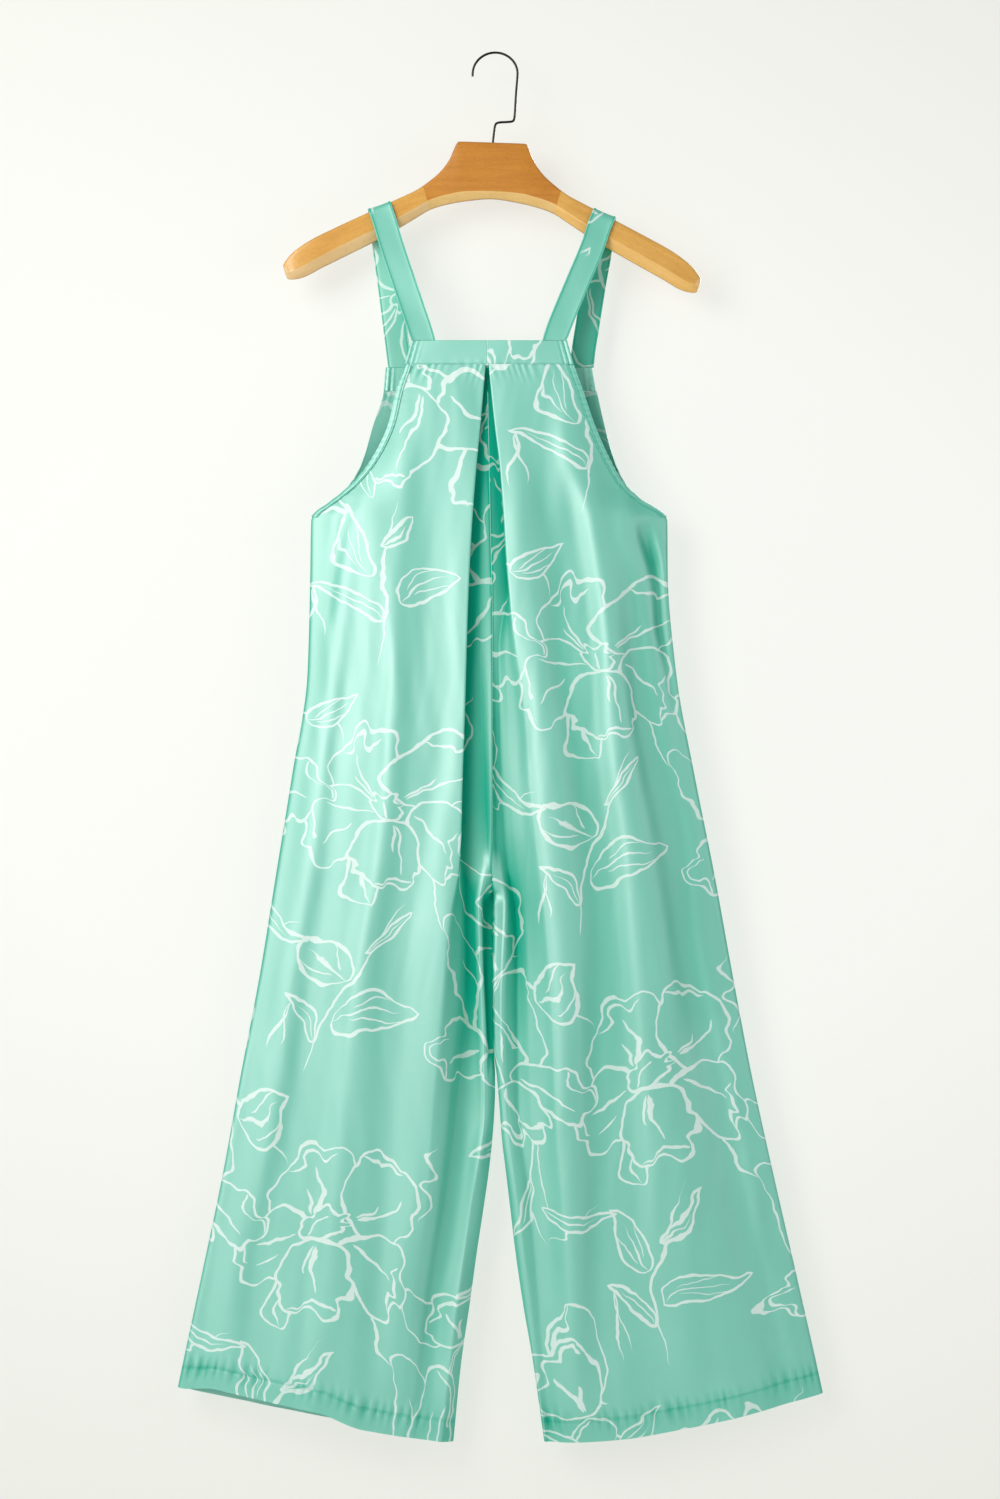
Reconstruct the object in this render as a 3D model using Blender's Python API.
"""A sleeveless wide-leg jumpsuit on a wooden hanger.

Metres, +Z up. The origin is the inner top of the hook's bow, where a rail or a peg
carries it. +X is to the right as seen from the front, and the front faces -Y.

Tables are in millimetres. "drop" is the distance below the hook's inner top, and x is
the distance to the right of it. A row of a table is one level of the garment, and what
lies between two rows is read from a smooth curve through them.
"""

from collections import namedtuple
from math import cos, radians, sin

import bmesh
import bpy
import numpy as np

MM = 0.001

# ---------------------------------------------------------------- driving sizes, mm
CLOTH = 1.0            # thickness of one layer of satin with its finish
STRAP_CLOTH = 2.0      # straps and bands are folded double
EDGE_CLOTH = 1.0       # the narrow strip that binds an armhole
SEAM_GAP = 0.3         # clear space between two pieces that are sewn together
BAND_TOP = 302.5       # drop of the bib band's top edge
BAND_HEIGHT = 25.0
STRAP_WIDTH = 25.0
BAND_NARROWING = 7.0   # each end of the bib band slants in by this towards its top edge
BACK_BAND_SPREAD = 2.0 # the back band is wider at its lower edge: by this, and twice it
ARMHOLE_EDGE_WIDTH = 7.0
UNDERARM = 490.0       # drop of the lowest point of the armholes
CROTCH = 872.0         # drop of the point where the two legs begin
LEGS_PART = 1072.0     # down to here the two legs touch along their inseams
HANGER_CENTRE = -3.4   # the hanger's middle, in x
HANGER_TOP = 93.9      # drop of the yoke's flat top
HANGER_LEAN = 0.033    # the hanger hangs lower on the right by this share of x
HANGER_HALF_DEPTH = 7.0
WIRE = 2.7             # diameter of the hook's wire

OUTER_RISE = 0.42      # share of a panel's width over which it swells from the side seam
INNER_FALL = 0.22      # and over which a leg falls away again to its inseam
FOLD_BEND = 2.4        # distance from a pleat's corner to the controls beside it

VISIBLE_POINTS = 9     # controls across a front panel, from the side seam to the pleat
BACK_POINTS = 9        # and across a back panel
BROAD_COLUMNS = 13     # grid columns of a front panel, from the side seam to the pleat
PLEAT_COLUMNS = 21     # and from there through the pleat's fold and turn to the seam
BACK_COLUMNS = 15
HOOK_SECTIONS = 46

# ---------------------------------------------------------------- tables, mm
# Outline: where each panel's outer edge lies. Down to UNDERARM it is the armhole's
# edge, which stands wider on the back than on the front, and below it the side seam.
Outline = namedtuple("Outline", "drop front_left front_right back_left back_right")
OUTLINE = (
    Outline(328, -94.5, 82, -115.5, 102),
    Outline(353, -103, 91, -117.5, 107),
    Outline(391, -112, 104, -129, 115.5),
    Outline(430, -131, 121, -140, 126),
    Outline(455, -152, 136.5, -154, 138),
    Outline(469, -169, 152, -170, 152),
    Outline(UNDERARM, -193, 180.5, -193, 180.5),
    Outline(547, -194, 181, -194, 181),
    Outline(652, -197, 190, -197, 190),
    Outline(757, -213, 209, -213, 209),
    Outline(862, -230, 230, -230, 230),
    Outline(967, -247, 249, -247, 249),
    Outline(1072, -267, 269, -267, 269),
    Outline(1177, -286, 292, -286, 292),
    Outline(1282, -308, 316, -308, 316),
    Outline(1400, -333, 342.5, -333, 342.5),
    Outline(1460, -345, 355, -345, 355),
)

# Inner edges: the centre seam down to the crotch, then each leg's inseam.
Inner = namedtuple("Inner", "drop left right")
INNER = (
    Inner(328, -8.5, -8.5),
    Inner(500, -5, -5),
    Inner(600, -3, -3),
    Inner(800, -3, -3),
    Inner(850, -3.6, -3.6),
    Inner(CROTCH, -3.4, -3.4),
    Inner(890, -2.3, -2.3),
    Inner(941, -3, -3),
    Inner(967, -3.4, -3.4),
    Inner(1004, -2.7, -2.7),
    Inner(1046, -1.6, -1.6),
    Inner(LEGS_PART, -0.2, 1.6),
    Inner(1088, -0.2, 3),
    Inner(1107, -0.8, 4.6),
    Inner(1141, -3.2, 7.2),
    Inner(1172, -6.6, 11),
    Inner(1214, -12.6, 16),
    Inner(1256, -19, 21),
    Inner(1314, -27, 29.5),
    Inner(1372, -35.5, 39.5),
    Inner(1457, -44, 51.5),
)

# Inverted box pleat: each front panel turns under at the fold, runs back to the turn
# and forward again to the centre seam. Where the turn passes the fold, the pleat has
# opened and goes on down the leg as a soft trough. Depths are behind the panel.
Pleat = namedtuple("Pleat", "drop left_fold left_turn left_depth right_fold right_turn right_depth")
PLEAT = (
    Pleat(328, -10, -36, 7, -7, 20, 7),
    Pleat(391, -15.4, -40, 8.5, -0.7, 25, 8.5),
    Pleat(434, -19.4, -43, 10, 4.5, 28, 9.5),
    Pleat(492, -23.8, -46, 12, 8.8, 30, 10),
    Pleat(530, -26, -47, 13, 11, 25, 10),
    Pleat(578, -28.1, -47.5, 14, 15, 12, 10),
    Pleat(626, -29.6, -48, 14.5, 21, 4.5, 10.5),
    Pleat(678, -31, -48, 15, 28.4, 5, 11.5),
    Pleat(778, -34.3, -48, 16, 35.5, 7.5, 13),
    Pleat(820, -35.3, -43, 16.5, 40, 10.5, 15),
    Pleat(853, -37, -36, 17, 44, 14, 16),
    Pleat(902, -46, -31, 18, 50, 22, 17),
    Pleat(951, -51, -30, 18, 54, 24, 15.5),
    Pleat(994, -54, -31.5, 16, 57, 23.5, 14),
    Pleat(1099, -63, -41, 11, 61, 24.5, 10),
    Pleat(1204, -71, -53.5, 7, 69, 36, 6),
    Pleat(1309, -86, -70, 4, 78, 46, 3),
    Pleat(1457, -101, -84, 1, 88, 58, 1),
)

# Ridge: beside the seam each panel comes forward again, in a narrow ridge that runs out
# of the crotch and down the leg. "rise" is its height above the pleat's turn.
Ridge = namedtuple("Ridge", "drop left left_rise right right_rise")
RIDGES = (
    Ridge(328, -20, 0, 4, 0),
    Ridge(700, -14, 1, 0, 0.5),
    Ridge(820, -9.5, 2, 0.5, 1.5),
    Ridge(850, -9, 5, 3, 4),
    Ridge(CROTCH, -13.5, 10, 7.5, 8),
    Ridge(893, -17, 13, 10.5, 10),
    Ridge(951, -16, 13, 8, 8.5),
    Ridge(994, -14, 10.5, 6.5, 7),
    Ridge(1046, -12, 7, 7, 5),
    Ridge(1107, -11, 4.5, 11, 3),
    Ridge(1214, -26, 2, 24, 1.5),
    Ridge(1314, -40, 1, 37, 1),
    Ridge(1457, -57, 0, 55, 0),
)

# Depth: how far the front and the back stand from the middle plane, at the outer
# edge, on the broad of the panel and at the centre seam or inseam. "round" is the
# radius in which the cloth turns at the side seam.
Depth = namedtuple("Depth", "drop front_edge front front_seam back_edge back back_seam round")
DEPTH = (
    Depth(328, 9.5, 12, 5.2, 11, 13, 13, 0),
    Depth(391, 8, 15, 7.5, 9, 13.5, 13.5, 0),
    Depth(434, 6, 18, 9, 6.5, 14.5, 14.5, 0.5),
    Depth(469, 2.5, 20, 11, 2.5, 15, 15, 1.5),
    Depth(UNDERARM, 0.15, 21, 12, 0.15, 15.5, 15.5, 2.5),
    Depth(578, 0.15, 24, 14, 0.15, 16, 16, 4),
    Depth(678, 0.15, 26, 17, 0.15, 16, 16, 4),
    Depth(778, 0.15, 27, 18.5, 0.15, 16, 16, 4),
    Depth(820, 0.15, 27, 16.5, 0.15, 16, 14, 4),
    Depth(850, 0.15, 27, 14.5, 0.15, 16, 9.5, 4),
    Depth(CROTCH, 0.15, 26.5, 9.5, 0.15, 16, 3, 4),
    Depth(888, 0.15, 26.3, 0.15, 0.15, 16, 0.15, 4),
    Depth(951, 0.15, 25.5, 0.15, 0.15, 15.5, 0.15, 4),
    Depth(1099, 0.15, 22, 0.15, 0.15, 14.5, 0.15, 4),
    Depth(1309, 0.15, 18, 0.15, 0.15, 13, 0.15, 4),
    Depth(1457, 0.15, 16, 0.15, 0.15, 12, 0.15, 4),
)

# Largest folds: soft ridges (height above 0) and troughs, each along a route of
# (x, drop) points, fading out over its last quarter at both ends.
Fold = namedtuple("Fold", "panel height width route")
FOLDS = (
    Fold("front_left", -3.0, 13, ((-79, 440), (-84, 640), (-93, 900), (-119, 1290))),
    Fold("front_left", 2.5, 12, ((-111, 470), (-112, 640), (-122, 900))),
    Fold("front_left", 3.0, 16, ((-146, 620), (-152, 860), (-150, 1340))),
    Fold("front_left", -4.0, 14, ((-168, 700), (-182, 900), (-222, 1140), (-264, 1400))),
    Fold("front_left", -2.5, 7, ((-152, 470), (-172, 600))),
    Fold("front_left", 3.0, 14, ((-196, 900), (-262, 1330))),
    Fold("front_right", 3.0, 15, ((86, 380), (120, 640), (142, 860), (165, 1080))),
    Fold("front_right", -4.0, 16, ((62, 430), (84, 700), (105, 860), (130, 1300))),
    Fold("front_right", -3.5, 12, ((121, 450), (147, 690), (170, 850), (214, 1040), (296, 1370))),
    Fold("front_right", 3.0, 12, ((131, 460), (172, 690), (228, 1000), (276, 1240))),
    Fold("front_right", -5.0, 7, ((150, 500), (169, 570), (177, 640), (190, 700))),
    Fold("front_right", 2.5, 14, ((84, 1000), (99, 1240))),
    Fold("back_left", -3.5, 16, ((-60, 420), (-70, 800), (-110, 1360))),
    Fold("back_left", 3.0, 15, ((-105, 430), (-125, 850), (-165, 1400))),
    Fold("back_left", -3.0, 15, ((-150, 560), (-175, 900), (-232, 1400))),
    Fold("back_right", -3.5, 16, ((50, 420), (64, 800), (112, 1360))),
    Fold("back_right", 3.0, 15, ((98, 430), (122, 850), (172, 1400))),
    Fold("back_right", -3.0, 15, ((140, 560), (178, 900), (248, 1400))),
)

# Hem: drop of each leg's lower edge at the side seam and at the inseam, how far its
# middle hangs below the straight line, and how far the front's outer half is lifted.
Hem = namedtuple("Hem", "side inseam bow front_lift")
HEM = {
    "left": Hem(1400, 1457, 4, 9),
    "right": Hem(1406, 1457, 11, 2),
}

# Levels of the grid, as drops at the centre seam or inseam.
FRONT_LEVELS = (
    353, 378, 402, 424, 442, 457, 470, 481, UNDERARM, 505, 530, 560, 600, 645, 690, 740, 790,
    825, 848, 862, CROTCH, 880, 890, 905, 930, 965, 1010, 1055, 1100, 1160, 1225, 1300, 1380, 1457,
)
BACK_LEVELS = (
    378, 402, 424, 442, 457, 470, 481, UNDERARM, 510, 560, 630, 710, 790,
    830, 855, CROTCH, 890, 940, 1010, 1090, 1180, 1270, 1360, 1457,
)

# Straps: the middle line of each, up the front from the bib band and down the back to
# the back band. tilt is the slope of the strap's width, in degrees. Between the two
# runs it lies over the hanger's arm, at SADDLE's depths and heights from the arm's top.
Strap = namedtuple("Strap", "x depth drop tilt")
Shoulder = namedtuple("Shoulder", "front x tilt back")
STRAPS = {
    "left": Shoulder(
        front=(
            Strap(-75.6, -11.5, 302.2, 0),
            Strap(-80.5, -11.3, 287, 17.7),
            Strap(-94.5, -10.8, 243, 17.7),
            Strap(-108.5, -10.0, 199, 18),
        ),
        x=-120.5,
        tilt=23.5,
        back=(
            Strap(-117.0, 9.8, 195.7, 9),
            Strap(-112.0, 11.0, 236, 7.2),
            Strap(-106.0, 12.0, 283, 7.2),
            Strap(-102.0, 12.4, 314, 6),
            Strap(-100.3, 12.4, 327.4, 0),
        ),
    ),
    "right": Shoulder(
        front=(
            Strap(62.0, -11.5, 302.2, 0),
            Strap(67.5, -11.3, 287, -21),
            Strap(84.5, -10.8, 243, -21),
            Strap(101.5, -10.0, 199, -21),
        ),
        x=113.8,
        tilt=-27.5,
        back=(
            Strap(111.3, 9.8, 199, -9),
            Strap(107.0, 11.0, 238, -6.1),
            Strap(102.0, 12.0, 284, -6.1),
            Strap(98.6, 12.4, 314, -5),
            Strap(97.1, 12.4, 327.4, 0),
        ),
    ),
}
SADDLE = (
    (-9.4, -14), (-9.3, -4.5), (-7.9, -0.3), (-4.5, 1.9), (0, 2.2),
    (4.5, 1.9), (7.9, -0.3), (9.3, -4.5), (9.4, -14),
)

# Hanger: distance out from its middle, with the drops below the yoke's top of the
# upper edge, of the ridge where the lower bevel begins, and of the lower edge.
Wood = namedtuple("Wood", "out top ridge bottom")
WOOD = (
    Wood(0, 0, 50, 57),
    Wood(35.5, 0, 54, 63),
    Wood(36.5, 1.2, 54.2, 63.2),
    Wood(44.2, 18.5, 56.5, 65),
    Wood(53.5, 31.7, 59, 67.5),
    Wood(65.6, 42.6, 63.5, 72),
    Wood(80, 53, 72, 81),
    Wood(96.4, 61.2, 81.5, 91.5),
    Wood(117.4, 71.6, 92.5, 104),
    Wood(159.4, 92.4, 114.5, 126.5),
    Wood(184, 105, 128, 139.5),
    Wood(201.4, 115, 138.5, 149.5),
    Wood(214, 126.5, 144, 151),
    Wood(220, 136, 142, 146),
)
YOKE_STATIONS = (
    -69, -60, -53.5, -48, -44.2, -40, -36.5, -35.5, -18, 0,
    18, 35.5, 36.5, 40, 44.2, 48, 53.5, 60, 69,
)
ARM_STATIONS = (69, 80, 96, 117, 138, 159, 184, 201, 209, 214.5, 218)
TIP_START = 203.0      # from here outwards an arm's end is rounded in depth,
TIP_END = 220.5        # to nothing here
JOINT_SLANT = 0.3      # the glued joints lean, like cuts square to the arm

# Hook: its bow is an ellipse, and its stem steps back to the yoke's middle.
HOOK_HALF_WIDTH = 23.8
HOOK_HALF_HEIGHT = 22.7
HOOK_TIP_ANGLE = 186   # degrees round the bow, from its right side
HOOK_BOW_POINTS = 17
HOOK_STEM = (
    (19.4, 45), (18.6, 62), (17.4, 67.6), (12.8, 70.6),
    (4.3, 71.6), (0, 73.6), (-1.9, 79), (-2.4, HANGER_TOP - SEAM_GAP),
)

COLOURS = {
    "front": (0.29, 0.70, 0.56),
    "back": (0.26, 0.66, 0.53),
    "band": (0.33, 0.73, 0.60),
    "strap": (0.31, 0.71, 0.58),
    "armhole_edge": (0.24, 0.62, 0.49),
    "hanger_yoke": (0.60, 0.27, 0.07),
    "hanger_arm": (0.75, 0.40, 0.13),
    "hanger_hook": (0.20, 0.19, 0.18),
}


# ---------------------------------------------------------------- curves
def read(table, column, where, key="drop"):
    """One column of a table at any level, on a smooth curve that never overshoots."""
    xs = np.array([getattr(row, key) for row in table], float)
    ys = np.array([getattr(row, column) for row in table], float)
    steps = np.diff(xs)
    slopes = np.diff(ys) / steps
    tangents = np.zeros(len(xs))
    for i in range(1, len(xs) - 1):
        if slopes[i - 1] * slopes[i] > 0:
            before = 2 * steps[i] + steps[i - 1]
            after = steps[i] + 2 * steps[i - 1]
            tangents[i] = (before + after) / (before / slopes[i - 1] + after / slopes[i])
    tangents[0] = slopes[0]
    tangents[-1] = slopes[-1]
    where = min(max(where, xs[0]), xs[-1])
    i = min(int(np.searchsorted(xs, where, side="right")) - 1, len(steps) - 1)
    t = (where - xs[i]) / steps[i]
    rise = ys[i] * (1 + 2 * t) * (1 - t) ** 2 + ys[i + 1] * t * t * (3 - 2 * t)
    return rise + steps[i] * t * (1 - t) * (tangents[i] * (1 - t) - tangents[i + 1] * t)


def spline(controls, where):
    """Points of a cubic B-spline from its first control, at 0, to its last, at 1."""
    controls = np.array(controls, float)
    spans = len(controls) - 3
    knots = np.concatenate((np.zeros(3), np.arange(spans + 1), np.full(3, spans)))
    points = []
    for t in np.asarray(where) * spans:
        k = min(int(t), spans - 1) + 3
        d = [controls[j + k - 3] for j in range(4)]
        for level in range(1, 4):
            for j in range(3, level - 1, -1):
                low = knots[j + k - 3]
                share = (t - low) / (knots[j + 1 + k - level] - low)
                d[j] = (1 - share) * d[j - 1] + share * d[j]
        points.append(d[3])
    return np.array(points)


def smoothstep(low, high, value):
    t = min(max((value - low) / (high - low), 0.0), 1.0)
    return t * t * (3 - 2 * t)


def fold_height(panel, x, drop):
    """The sum of a panel's soft ridges and troughs at one place."""
    total = 0.0
    for fold in FOLDS:
        if fold.panel != panel:
            continue
        xs, drops = zip(*fold.route)
        length = drops[-1] - drops[0]
        fade = smoothstep(0, length / 4, drop - drops[0]) * smoothstep(0, length / 4, drops[-1] - drop)
        if fade > 0:
            offset = (x - np.interp(drop, drops, xs)) / fold.width
            total += fold.height * fade * np.exp(-offset * offset)
    return total


# ---------------------------------------------------------------- cloth sections
def row_drop(side, face, level, share):
    """Drop of a point of one row: share is 0 at the outer edge and 1 at the inner."""
    hem = HEM[side]
    down = max(level - CROTCH, 0.0) / (hem.inseam - CROTCH)
    lifted = (hem.side - hem.inseam) * down * (1 - share)
    bow = hem.bow * 4 * share * (1 - share) * down
    if face == "front":
        bow -= hem.front_lift * down ** 6 * smoothstep(0, 0.15, share) * (1 - smoothstep(0.5, 0.68, share))
    return level + lifted + bow


def broad_depth(side, face, level, x, drop):
    """How far the broad of a panel stands from the middle plane at x."""
    outer = read(OUTLINE, face + "_" + side, drop)
    inner = read(INNER, side, level)
    share = min(max((x - outer) / (inner - outer), 0.0), 1.0)
    edge = read(DEPTH, face + "_edge", level)
    broad = read(DEPTH, face, level)
    rise = 1 - max(1 - share / OUTER_RISE, 0.0) ** 2
    leg = smoothstep(CROTCH - 60, CROTCH + 30, level)
    fall = 1 - leg * max(1 - (1 - share) / INNER_FALL, 0.0) ** 2
    folds = fold_height(face + "_" + side, x, drop) * rise * smoothstep(0, 0.06, 1 - share)
    return edge + (broad - edge) * rise * fall + folds


def outer_controls(side, face, level):
    """The outer edge, and the control that rounds the cloth over the side seam."""
    drop = row_drop(side, face, level, 0)
    x = read(OUTLINE, face + "_" + side, drop)
    edge = read(DEPTH, face + "_edge", level)
    bend = read(DEPTH, "round", level)
    towards_middle = 1 if side == "left" else -1
    return [(x, edge), (x + 0.25 * bend * towards_middle, edge + bend)]


def inner_controls(side, face, level, before):
    """The way from the control before it to the centre seam or the inseam."""
    x = read(INNER, side, level)
    # the two halves stop half a seam's gap from the seam's line
    x += (-0.5 if side == "left" else 0.5) * SEAM_GAP
    seam = read(DEPTH, face + "_seam", level)
    bend = 4 * smoothstep(CROTCH - 30, CROTCH + 30, level)
    near = (x + 0.2 * (before[0] - x), seam + max(bend, 0.15 * (before[1] - seam)))
    return [near, (x, seam)]


def front_section(side, level):
    """Points across one front panel, from the outer edge to the centre or inseam."""
    controls = outer_controls(side, "front", level)
    outer = controls[0][0]
    hint = row_drop(side, "front", level, 0.85)
    fold = read(PLEAT, side + "_fold", hint)
    turn = read(PLEAT, side + "_turn", hint)
    behind = read(PLEAT, side + "_depth", hint)
    ridge = read(RIDGES, side, level)
    rise = read(RIDGES, side + "_rise", level)
    towards_middle = 1 if side == "left" else -1
    opened = max((turn - fold) * towards_middle, 0.0) * towards_middle

    def on_panel(x, back=0.0):
        share = (x - outer) / (read(INNER, side, level) - outer)
        depth = broad_depth(side, "front", level, x, row_drop(side, "front", level, share))
        return (x, depth - back)

    last_visible = fold - 7 * towards_middle
    for k in range(VISIBLE_POINTS):
        share = (k + 0.35) / (VISIBLE_POINTS - 0.65)
        controls.append(on_panel(outer + (last_visible - outer) * share))
    crest = on_panel(fold)
    behind_crest = on_panel(fold + 0.3 * opened, 0.3 * behind)
    before_turn = on_panel(turn - 0.3 * opened, 0.6 * behind)
    turned = on_panel(turn, behind)
    forward = (ridge, turned[1] + rise)
    near_seam, seam = inner_controls(side, "front", level, forward)
    controls += [near(crest, controls[-1]), crest]
    controls += [behind_crest, near(behind_crest, before_turn)]
    controls += [near(before_turn, behind_crest), before_turn]
    controls += [turned, near(turned, forward), near(forward, turned), forward]
    controls += [near(forward, near_seam), near_seam, seam]
    folded = (VISIBLE_POINTS + 1) / (len(controls) - 3)
    where = np.concatenate((
        np.linspace(0, folded, BROAD_COLUMNS, endpoint=False),
        np.linspace(folded, 1, PLEAT_COLUMNS),
    ))
    return place(side, "front", level, spline(controls, where))


def back_section(side, level):
    """Points across one back panel, from the outer edge to the centre or inseam."""
    controls = outer_controls(side, "back", level)
    outer = controls[0][0]
    inner = read(INNER, side, level)
    for k in range(BACK_POINTS):
        share = (k + 0.35) / BACK_POINTS
        x = outer + (inner - outer) * share
        controls.append((x, broad_depth(side, "back", level, x, row_drop(side, "back", level, share))))
    controls += inner_controls(side, "back", level, controls[-1])
    return place(side, "back", level, spline(controls, np.linspace(0, 1, BACK_COLUMNS)))


def near(point, other):
    """A control beside a fold's corner, which keeps its bend round and small."""
    along = np.array(other) - np.array(point)
    length = max(float(np.linalg.norm(along)), 1e-6)
    return tuple(np.array(point) + along * min(FOLD_BEND / length, 0.35))


def place(side, face, level, flat):
    """Turns (x, depth) points of a section into points in space."""
    outer = flat[0][0]
    inner = flat[-1][0]
    sign = -1 if face == "front" else 1
    rows = []
    for x, depth in flat:
        share = min(max((x - outer) / (inner - outer), 0.0), 1.0)
        rows.append((x, sign * depth, -row_drop(side, face, level, share)))
    return np.array(rows)


# ---------------------------------------------------------------- solids
def material(name, colour, roughness, metallic=0.0):
    made = bpy.data.materials.new(name)
    made.use_nodes = True
    shader = made.node_tree.nodes["Principled BSDF"]
    shader.inputs["Base Color"].default_value = (*colour, 1.0)
    shader.inputs["Roughness"].default_value = roughness
    shader.inputs["Metallic"].default_value = metallic
    made.diffuse_color = (*colour, 1.0)
    return made


def add_solid(name, points, faces, paint):
    """One named object from points in millimetres, with its faces pointing out."""
    mesh = bpy.data.meshes.new(name)
    mesh.from_pydata([tuple(p * MM) for p in np.asarray(points, float)], [], faces)
    bm = bmesh.new()
    bm.from_mesh(mesh)
    bmesh.ops.recalc_face_normals(bm, faces=bm.faces)
    bm.to_mesh(mesh)
    bm.free()
    mesh.shade_smooth()
    mesh.set_sharp_from_angle(angle=radians(40))
    mesh.materials.append(paint)
    solid = bpy.data.objects.new(name, mesh)
    bpy.context.scene.collection.objects.link(solid)
    return solid


def surface_normals(grid):
    """Unit normals at the points of a grid, from their neighbours on all sides."""
    across = np.gradient(grid, axis=1)
    down = np.gradient(grid, axis=0)
    normals = np.cross(across, down)
    return normals / np.linalg.norm(normals, axis=2, keepdims=True)


def wall(name, grid, thickness, paint, trim=None):
    """A closed wall of even thickness with the grid of points as its middle surface."""
    rows, columns, _ = grid.shape
    offset = surface_normals(grid) * thickness / 2
    points = np.concatenate(((grid + offset).reshape(-1, 3), (grid - offset).reshape(-1, 3)))
    if trim:
        points = trim(points)
    far = rows * columns

    def at(i, j):
        return i * columns + j

    faces = []
    for i in range(rows - 1):
        for j in range(columns - 1):
            a, b, c, d = at(i, j), at(i, j + 1), at(i + 1, j + 1), at(i + 1, j)
            faces.append((a, b, c, d))
            faces.append((far + d, far + c, far + b, far + a))
    rim = [at(0, j) for j in range(columns)]
    rim += [at(i, columns - 1) for i in range(1, rows)]
    rim += [at(rows - 1, j) for j in range(columns - 2, -1, -1)]
    rim += [at(i, 0) for i in range(rows - 2, 0, -1)]
    for a, b in zip(rim, rim[1:] + rim[:1]):
        faces.append((b, a, far + a, far + b))
    return add_solid(name, points, faces, paint)


def rings(name, sections, paint):
    """A closed solid through rings of equal point counts, with flat ends."""
    sections = [np.asarray(ring, float) for ring in sections]
    size = len(sections[0])
    faces = [tuple(range(size))[::-1]]
    for i in range(len(sections) - 1):
        for j in range(size):
            k = (j + 1) % size
            faces.append((i * size + j, i * size + k, (i + 1) * size + k, (i + 1) * size + j))
    last = (len(sections) - 1) * size
    faces.append(tuple(range(last, last + size)))
    return add_solid(name, np.concatenate(sections), faces, paint)


# ---------------------------------------------------------------- garment
def seam_trim(side, face):
    """Cuts a panel's edges at the middle plane and, where the halves meet, at the seam."""
    half_gap = SEAM_GAP / 2

    def trim(points):
        for p in points:
            if face == "front":
                p[1] = min(p[1], -half_gap)
            else:
                p[1] = max(p[1], half_gap)
            if -p[2] < LEGS_PART:
                seam = read(INNER, "left", -p[2])
                if side == "left":
                    p[0] = min(p[0], seam - half_gap)
                else:
                    p[0] = max(p[0], seam + half_gap)
        return points

    return trim


def make_panels():
    """Both fronts and both backs. Returns each one's grid of middle points."""
    grids = {}
    front_top = BAND_TOP + BAND_HEIGHT + SEAM_GAP + CLOTH / 2
    back_top = front_top + BAND_HEIGHT
    for side in ("left", "right"):
        front = [front_section(side, level) for level in (front_top, *FRONT_LEVELS)]
        back = [back_section(side, level) for level in (back_top, *BACK_LEVELS)]
        for face, sections in (("front", front), ("back", back)):
            name = face + "_" + side
            grids[name] = np.array(sections)
            wall(name, grids[name], CLOTH, material(name, COLOURS[face], 0.45), seam_trim(side, face))
    return grids


def make_armhole_edges(grids):
    """A narrow strip on the outside of each panel, along its armhole."""
    for name, grid in grids.items():
        sign = -1 if name.startswith("front") else 1
        strip = []
        for row in grid:
            if -row[0][2] > UNDERARM - 1:
                break
            steps = np.concatenate(([0], np.cumsum(np.linalg.norm(np.diff(row, axis=0), axis=1))))
            along = np.linspace(0, ARMHOLE_EDGE_WIDTH, 4)
            strip.append(np.stack([np.interp(along, steps, row[:, axis]) for axis in range(3)], axis=1))
        strip = np.array(strip)
        normals = surface_normals(strip)
        outward = np.where(normals[..., 1:2] * sign > 0, 1, -1) * normals
        strip = strip + outward * (CLOTH / 2 + SEAM_GAP + EDGE_CLOTH / 2 + 0.1)
        paint = material("edge_" + name, COLOURS["armhole_edge"], 0.5)
        wall("armhole_edge_" + name, strip, EDGE_CLOTH, paint)


def band_grid(face, start, end, top):
    """A strip of cloth across the body, on the line of the panels' upper edges."""
    level = BAND_TOP + BAND_HEIGHT
    side_depth = read(DEPTH, face + "_edge", level)
    middle_depth = read(DEPTH, face, level)
    sign = -1 if face == "front" else 1
    left = read(OUTLINE, face + "_left", level)
    right = read(OUTLINE, face + "_right", level)
    rows = []
    for k in range(3):
        share = k / 2
        row = []
        for x in np.linspace(start(share), end(share), 9):
            out = min(max((x - left) / (right - left), 0.0), 1.0)
            rise = 1 - abs(2 * out - 1) ** 2.4
            depth = side_depth + (middle_depth - side_depth) * rise
            row.append((x, sign * depth, -(top + BAND_HEIGHT * share)))
        rows.append(row)
    return np.array(rows)


def make_bands():
    """The bib band in two halves, and the plain band across the back."""
    level = BAND_TOP + BAND_HEIGHT
    seam = read(INNER, "left", level)
    left = read(OUTLINE, "front_left", level)
    right = read(OUTLINE, "front_right", level)
    half_gap = SEAM_GAP / 2

    def left_end(down):
        return left + BAND_NARROWING * (1 - down)

    def right_end(down):
        return right - BAND_NARROWING * (1 - down)

    left_half = band_grid("front", left_end, lambda down: seam - half_gap, BAND_TOP)
    right_half = band_grid("front", lambda down: seam + half_gap, right_end, BAND_TOP)
    wall("front_band_left", left_half, STRAP_CLOTH, material("band_left", COLOURS["band"], 0.45))
    wall("front_band_right", right_half, STRAP_CLOTH, material("band_right", COLOURS["band"], 0.45))
    back_left = read(OUTLINE, "back_left", level)
    back_right = read(OUTLINE, "back_right", level)

    def back_left_end(down):
        return back_left - BACK_BAND_SPREAD * down

    def back_right_end(down):
        return back_right + 2 * BACK_BAND_SPREAD * down

    back = band_grid("back", back_left_end, back_right_end, level + CLOTH / 2)
    wall("back_band", back, STRAP_CLOTH, material("back_band", COLOURS["band"], 0.45))


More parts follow.
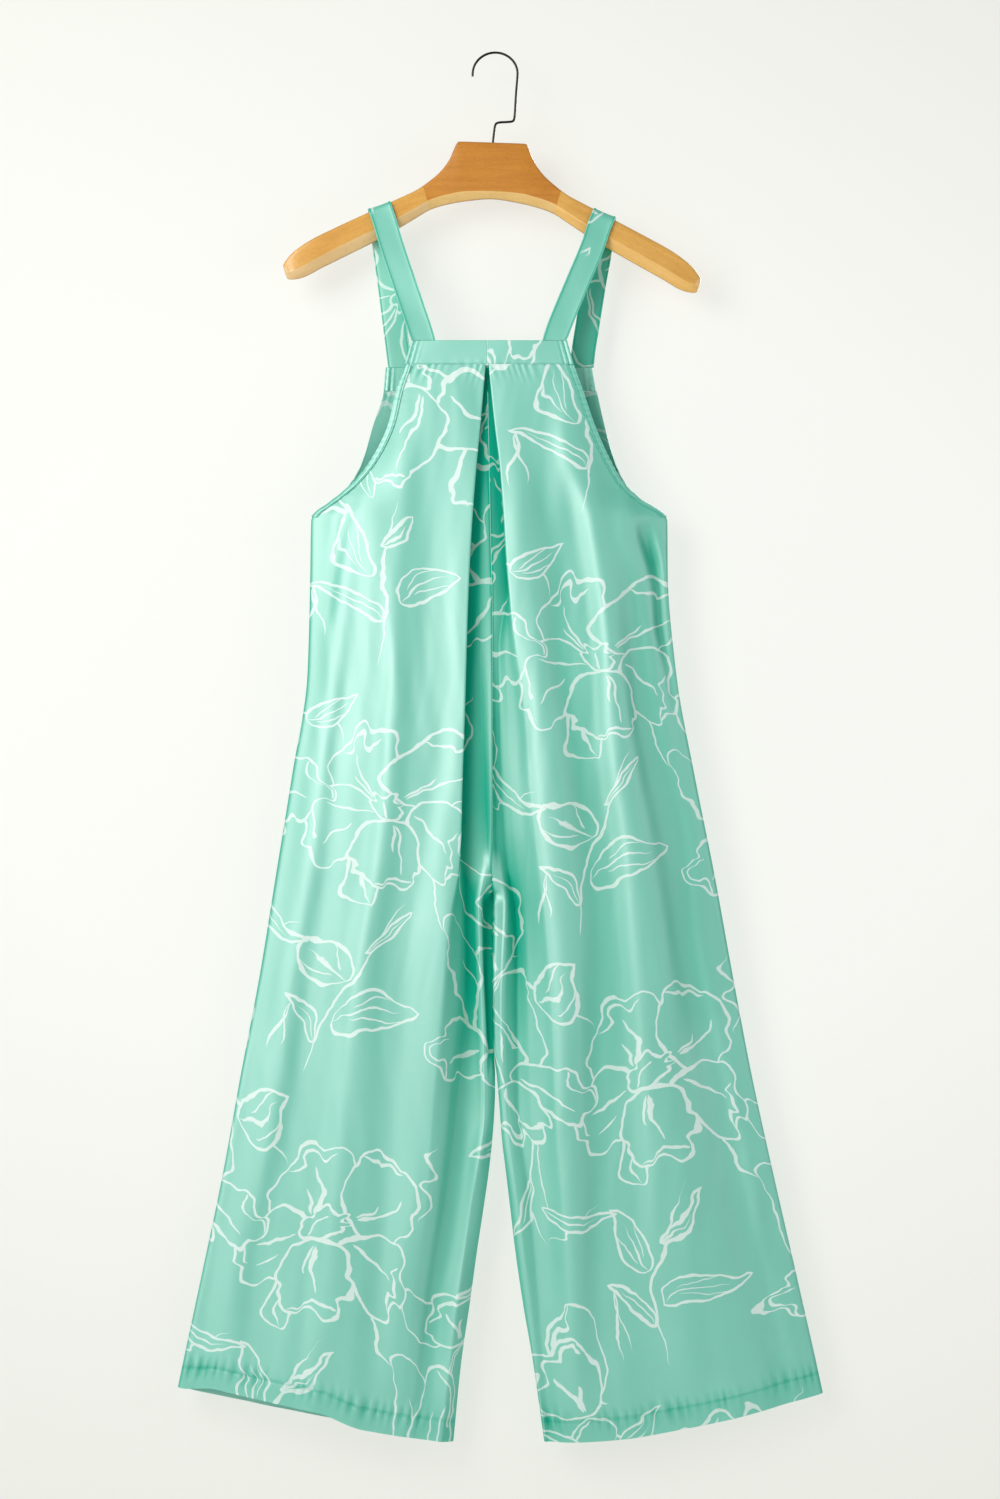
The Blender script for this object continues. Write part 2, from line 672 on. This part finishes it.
def arm_top(x):
    """Drop of the hanger's upper edge at x."""
    out = abs(x - HANGER_CENTRE)
    return HANGER_TOP + read(WOOD, "top", out, key="out") + HANGER_LEAN * (x - HANGER_CENTRE)


def make_straps():
    """Each strap is a ribbon swept along its middle line."""
    for side, shoulder in STRAPS.items():
        top = arm_top(shoulder.x)
        over = [Strap(shoulder.x, depth, top - rise, shoulder.tilt) for depth, rise in SADDLE]
        rows = []
        for station in (*shoulder.front, *over, *shoulder.back):
            centre = np.array((station.x, station.depth, -station.drop))
            slope = radians(station.tilt)
            across = np.array((cos(slope), 0.0, sin(slope)))
            rows.append([centre + across * STRAP_WIDTH * share for share in (-0.5, 0.0, 0.5)])
        name = "strap_" + side
        wall(name, np.array(rows), STRAP_CLOTH, material(name, COLOURS["strap"], 0.45))


# ---------------------------------------------------------------- hanger
def wood_ring(out, side, depth_scale=1.0):
    """A flat section of the hanger: upper edge, faces and lower bevels.

    In the arms it leans like a cut square to the arm's run, and in the yoke it is upright.
    """
    slant = JOINT_SLANT * smoothstep(45, 62, out)
    middle = (read(WOOD, "top", out, key="out") + read(WOOD, "bottom", out, key="out")) / 2

    def corner(column, depth, lower=0.0):
        reach = out
        for _ in range(6):
            drop = read(WOOD, column, max(reach, 0.0), key="out") + lower
            reach = out + slant * (middle - drop)
        x = side * reach
        return (HANGER_CENTRE + x, depth * depth_scale, -(HANGER_TOP + drop + HANGER_LEAN * x))

    half = HANGER_HALF_DEPTH
    return [
        corner("top", -half + 2.5),
        corner("top", half - 2.5),
        corner("top", half, 2.2),
        corner("ridge", half),
        corner("bottom", 2.2),
        corner("bottom", -2.2),
        corner("ridge", -half),
        corner("top", -half, 2.2),
    ]


def make_hanger():
    """The glued yoke and its two arms. The joints keep the seam's gap."""
    yoke = [wood_ring(abs(out), -1 if out < 0 else 1) for out in YOKE_STATIONS]
    rings("hanger_yoke", yoke, material("hanger_yoke", COLOURS["hanger_yoke"], 0.35))
    for side, sign in (("left", -1), ("right", 1)):
        sections = []
        for k, out in enumerate(ARM_STATIONS):
            rounding = max(out - TIP_START, 0.0) / (TIP_END - TIP_START)
            scale = (1 - rounding ** 2) ** 0.5
            sections.append(wood_ring(out + (SEAM_GAP if k == 0 else 0.0), sign, scale))
        name = "hanger_arm_" + side
        rings(name, sections, material(name, COLOURS["hanger_arm"], 0.35))


def make_hook():
    """Bent wire: an open bow over the rail, then a stem stepped back to the yoke."""
    centre_drop = HOOK_HALF_HEIGHT - WIRE / 2
    route = []
    for share in np.linspace(1, 0, HOOK_BOW_POINTS):
        angle = radians(HOOK_TIP_ANGLE * share)
        route.append((HOOK_HALF_WIDTH * cos(angle), HOOK_HALF_HEIGHT * sin(angle) - centre_drop))
    route += [(x, -drop) for x, drop in HOOK_STEM]
    centre = spline(route, np.linspace(0, 1, HOOK_SECTIONS))
    centre = np.stack((centre[:, 0], np.zeros(len(centre)), centre[:, 1]), axis=1)
    along = np.gradient(centre, axis=0)
    along /= np.linalg.norm(along, axis=1, keepdims=True)
    sections = []
    for point, run in zip(centre, along):
        sideways = np.cross(run, (0, 1, 0))
        ring = []
        for k in range(8):
            turn = radians(45 * k)
            ring.append(point + WIRE / 2 * (sideways * cos(turn) + np.array((0, 1, 0)) * sin(turn)))
        sections.append(ring)
    rings("hanger_hook", sections, material("hanger_hook", COLOURS["hanger_hook"], 0.3, 1.0))


def main():
    for old in list(bpy.data.objects):
        bpy.data.objects.remove(old, do_unlink=True)
    make_hanger()
    make_hook()
    make_straps()
    make_bands()
    make_armhole_edges(make_panels())


main()
